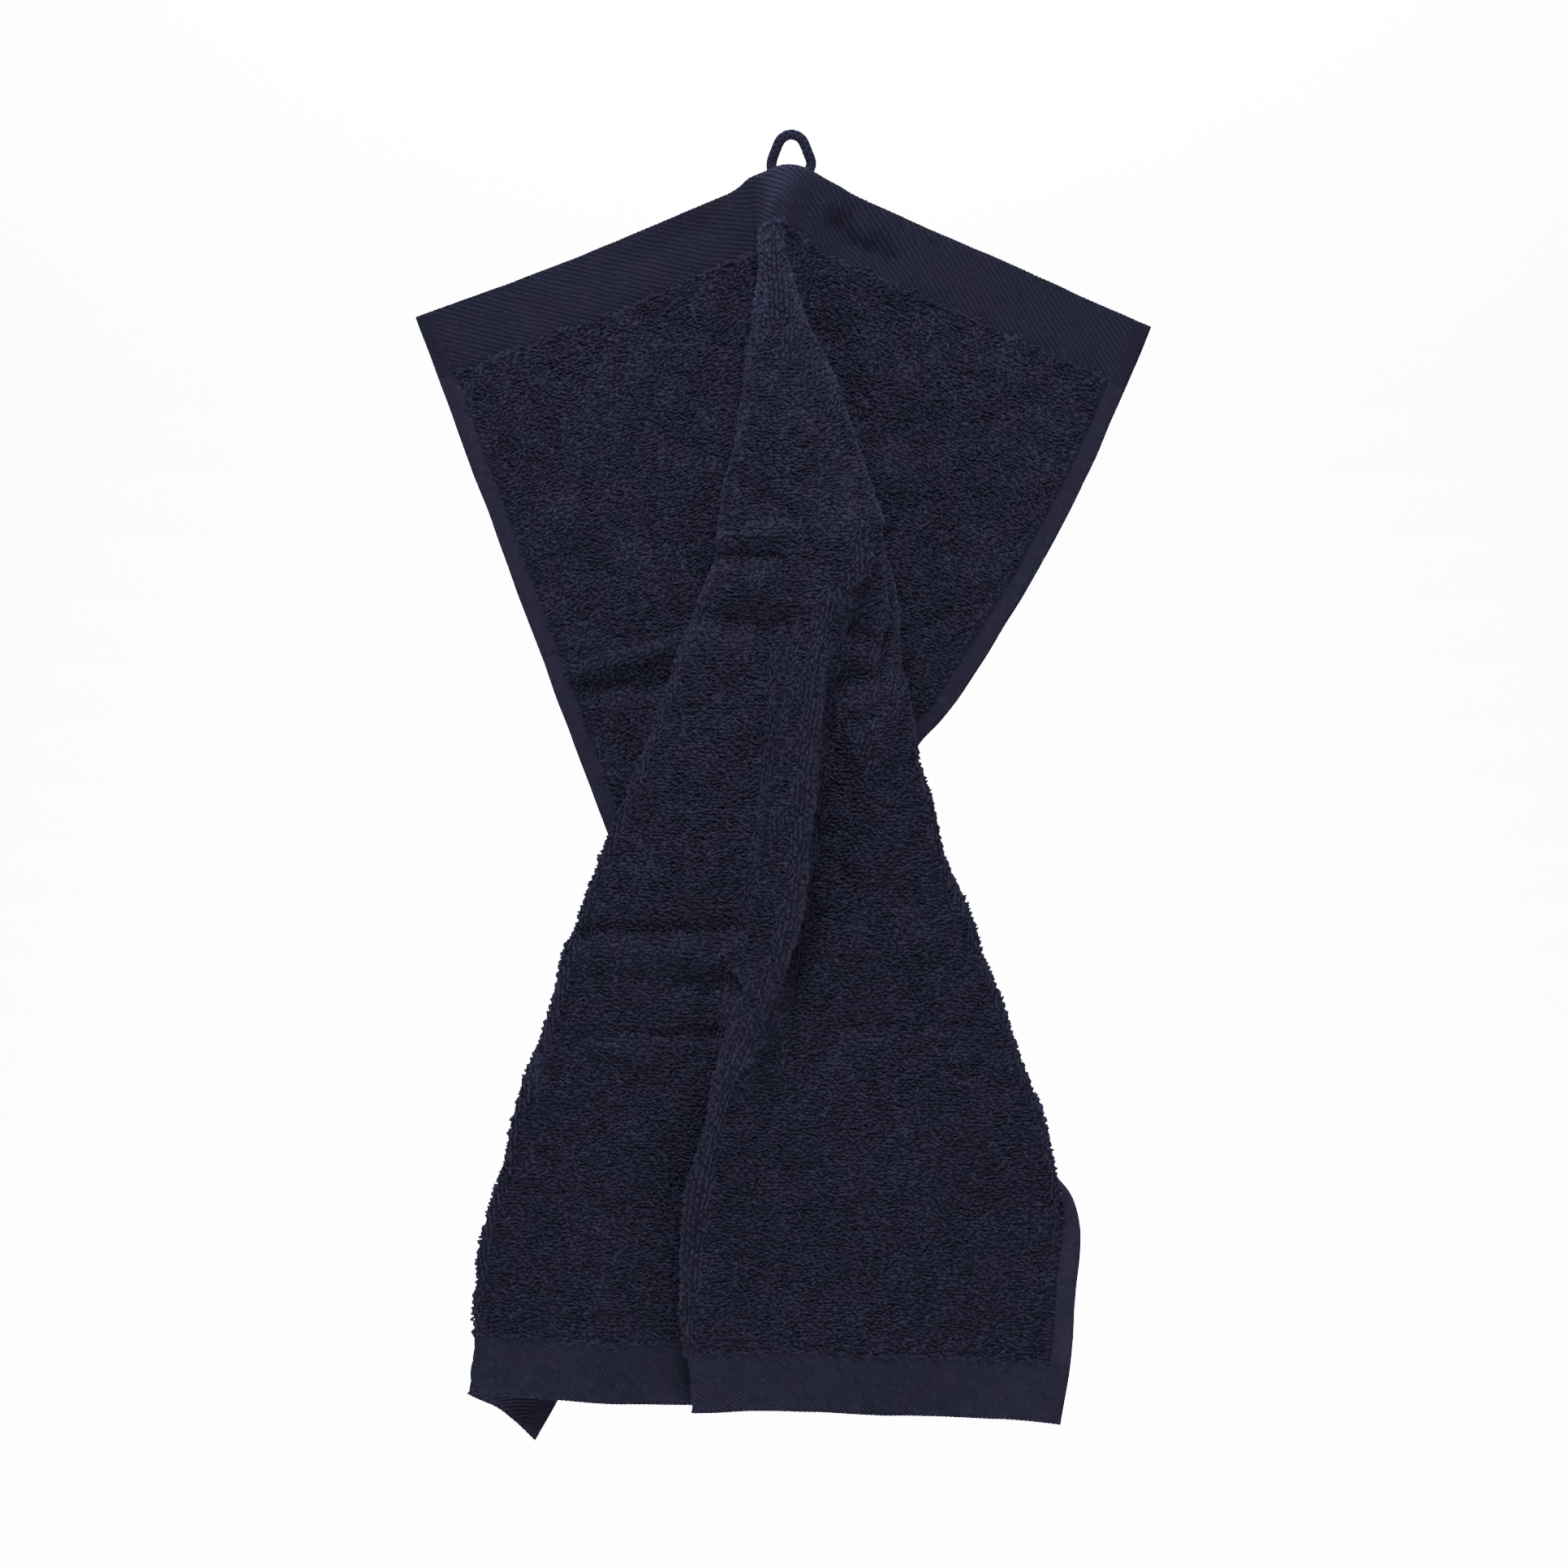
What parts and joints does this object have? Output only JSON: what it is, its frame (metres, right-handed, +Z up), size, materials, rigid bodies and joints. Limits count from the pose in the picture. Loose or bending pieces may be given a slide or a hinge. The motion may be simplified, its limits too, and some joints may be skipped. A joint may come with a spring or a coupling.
{
  "type": "terry hand towel with a hanging loop",
  "caption": "Dark terry hand towel with flat woven end bands and turned side hems, hanging in soft folds from a cord loop at its top edge.",
  "frame": {"origin": "inside crown of the hanging loop, where a hook carries the towel", "axes": "+Z up, +Y towards what the towel hangs against, +X to the viewer's right as seen from the front"},
  "size_m": [0.355, 0.0879, 0.6239],
  "materials": {
    "terry": "matte terry pile",
    "cord": "matte woven cord"
  },
  "bodies": {
    "root": {"towel_cloth": "terry", "hanging_loop": "cord"}
  },
  "joints": []
}
